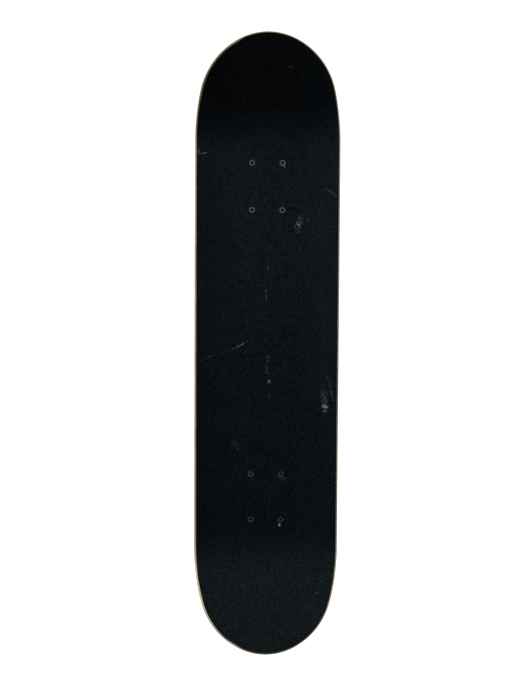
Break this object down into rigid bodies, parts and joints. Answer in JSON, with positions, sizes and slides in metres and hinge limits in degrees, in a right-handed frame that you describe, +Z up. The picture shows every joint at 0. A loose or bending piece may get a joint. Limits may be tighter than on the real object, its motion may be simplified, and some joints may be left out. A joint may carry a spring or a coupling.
{
  "type": "skateboard",
  "caption": "Complete street skateboard: rounded maple deck with upturned ends and concave, black grip sheet, sprung tilting trucks and small urethane wheels on ball bearings.",
  "frame": {"origin": "middle of the board's length and width, on the ground under the wheels", "axes": "+X along the board to its longer, nose end; +Y to the left facing the nose; +Z up"},
  "size_m": [0.818, 0.1972, 0.1369],
  "materials": {
    "maple": "seven-ply maple, satin lacquer",
    "grip": "coarse black abrasive sheet",
    "hardware": "worn zinc-plated steel",
    "cast": "raw cast, tumbled",
    "steel": "plated steel",
    "cup": "moulded nylon",
    "bushing": "cast urethane",
    "urethane": "cast urethane, road-worn",
    "bearing_steel": "ground steel",
    "cage": "moulded nylon",
    "spacer": "turned"
  },
  "bodies": {
    "board": {"deck": "maple", "griptape": "grip", "front_mounting_bolts": "hardware", "front_mounting_nuts": "hardware", "front_baseplate": "cast", "front_pivot_cup": "cup", "front_kingpin": "steel", "front_kingpin_nut": "steel", "front_boardside_bushing": "bushing", "front_roadside_bushing": "bushing", "front_boardside_washer": "steel", "front_roadside_washer": "steel", "rear_mounting_bolts": "hardware", "rear_mounting_nuts": "hardware", "rear_baseplate": "cast", "rear_pivot_cup": "cup", "rear_kingpin": "steel", "rear_kingpin_nut": "steel", "rear_boardside_bushing": "bushing", "rear_roadside_bushing": "bushing", "rear_boardside_washer": "steel", "rear_roadside_washer": "steel"},
    "front_truck": {"front_hanger": "cast", "front_axle": "steel", "front_axle_nuts": "hardware", "front_axle_washers": "steel", "front_left_bearing_inner_rings": "bearing_steel", "front_left_bearing_spacer": "spacer", "front_right_bearing_inner_rings": "bearing_steel", "front_right_bearing_spacer": "spacer"},
    "rear_truck": {"rear_hanger": "cast", "rear_axle": "steel", "rear_axle_nuts": "hardware", "rear_axle_washers": "steel", "rear_left_bearing_inner_rings": "bearing_steel", "rear_left_bearing_spacer": "spacer", "rear_right_bearing_inner_rings": "bearing_steel", "rear_right_bearing_spacer": "spacer"},
    "front_left_roller": {"front_left_wheel": "urethane", "front_left_bearing_outer_rings": "bearing_steel", "front_left_bearing_shields": "bearing_steel"},
    "front_left_ball_set": {"front_left_bearing_balls": "bearing_steel", "front_left_bearing_cages": "cage"},
    "front_right_roller": {"front_right_wheel": "urethane", "front_right_bearing_outer_rings": "bearing_steel", "front_right_bearing_shields": "bearing_steel"},
    "front_right_ball_set": {"front_right_bearing_balls": "bearing_steel", "front_right_bearing_cages": "cage"},
    "rear_left_roller": {"rear_left_wheel": "urethane", "rear_left_bearing_outer_rings": "bearing_steel", "rear_left_bearing_shields": "bearing_steel"},
    "rear_left_ball_set": {"rear_left_bearing_balls": "bearing_steel", "rear_left_bearing_cages": "cage"},
    "rear_right_roller": {"rear_right_wheel": "urethane", "rear_right_bearing_outer_rings": "bearing_steel", "rear_right_bearing_shields": "bearing_steel"},
    "rear_right_ball_set": {"rear_right_bearing_balls": "bearing_steel", "rear_right_bearing_cages": "cage"}
  },
  "joints": [
    {"name": "front_steer", "type": "hinge", "parent": "board", "child": "front_truck", "pos_m": [0.19955, 0, 0.045], "axis": [0.8697, 0, 0.4936], "range_deg": [-15, 15], "stiffness_Nm_per_rad": 40, "deforming": ["front_boardside_bushing", "front_roadside_bushing"]},
    {"name": "rear_steer", "type": "hinge", "parent": "board", "child": "rear_truck", "pos_m": [-0.20795, 0, 0.045], "axis": [-0.8697, 0, 0.4936], "range_deg": [-15, 15], "stiffness_Nm_per_rad": 40, "deforming": ["rear_boardside_bushing", "rear_roadside_bushing"]},
    {"name": "front_left_spin", "type": "hinge", "parent": "front_truck", "child": "front_left_roller", "pos_m": [0.21655, 0.077, 0.026], "axis": [0, 1, 0], "continuous": true},
    {"name": "front_left_ball_orbit", "type": "hinge", "parent": "front_truck", "child": "front_left_ball_set", "pos_m": [0.21655, 0.077, 0.026], "axis": [0, 1, 0], "continuous": true},
    {"name": "front_right_spin", "type": "hinge", "parent": "front_truck", "child": "front_right_roller", "pos_m": [0.21655, -0.077, 0.026], "axis": [0, 1, 0], "continuous": true},
    {"name": "front_right_ball_orbit", "type": "hinge", "parent": "front_truck", "child": "front_right_ball_set", "pos_m": [0.21655, -0.077, 0.026], "axis": [0, 1, 0], "continuous": true},
    {"name": "rear_left_spin", "type": "hinge", "parent": "rear_truck", "child": "rear_left_roller", "pos_m": [-0.22495, 0.077, 0.026], "axis": [0, 1, 0], "continuous": true},
    {"name": "rear_left_ball_orbit", "type": "hinge", "parent": "rear_truck", "child": "rear_left_ball_set", "pos_m": [-0.22495, 0.077, 0.026], "axis": [0, 1, 0], "continuous": true},
    {"name": "rear_right_spin", "type": "hinge", "parent": "rear_truck", "child": "rear_right_roller", "pos_m": [-0.22495, -0.077, 0.026], "axis": [0, 1, 0], "continuous": true},
    {"name": "rear_right_ball_orbit", "type": "hinge", "parent": "rear_truck", "child": "rear_right_ball_set", "pos_m": [-0.22495, -0.077, 0.026], "axis": [0, 1, 0], "continuous": true}
  ],
  "couplings": [
    {"joint": "front_left_ball_orbit", "follows": "front_left_spin", "ratio": 0.63227},
    {"joint": "front_right_ball_orbit", "follows": "front_right_spin", "ratio": 0.63227},
    {"joint": "rear_left_ball_orbit", "follows": "rear_left_spin", "ratio": 0.63227},
    {"joint": "rear_right_ball_orbit", "follows": "rear_right_spin", "ratio": 0.63227}
  ]
}
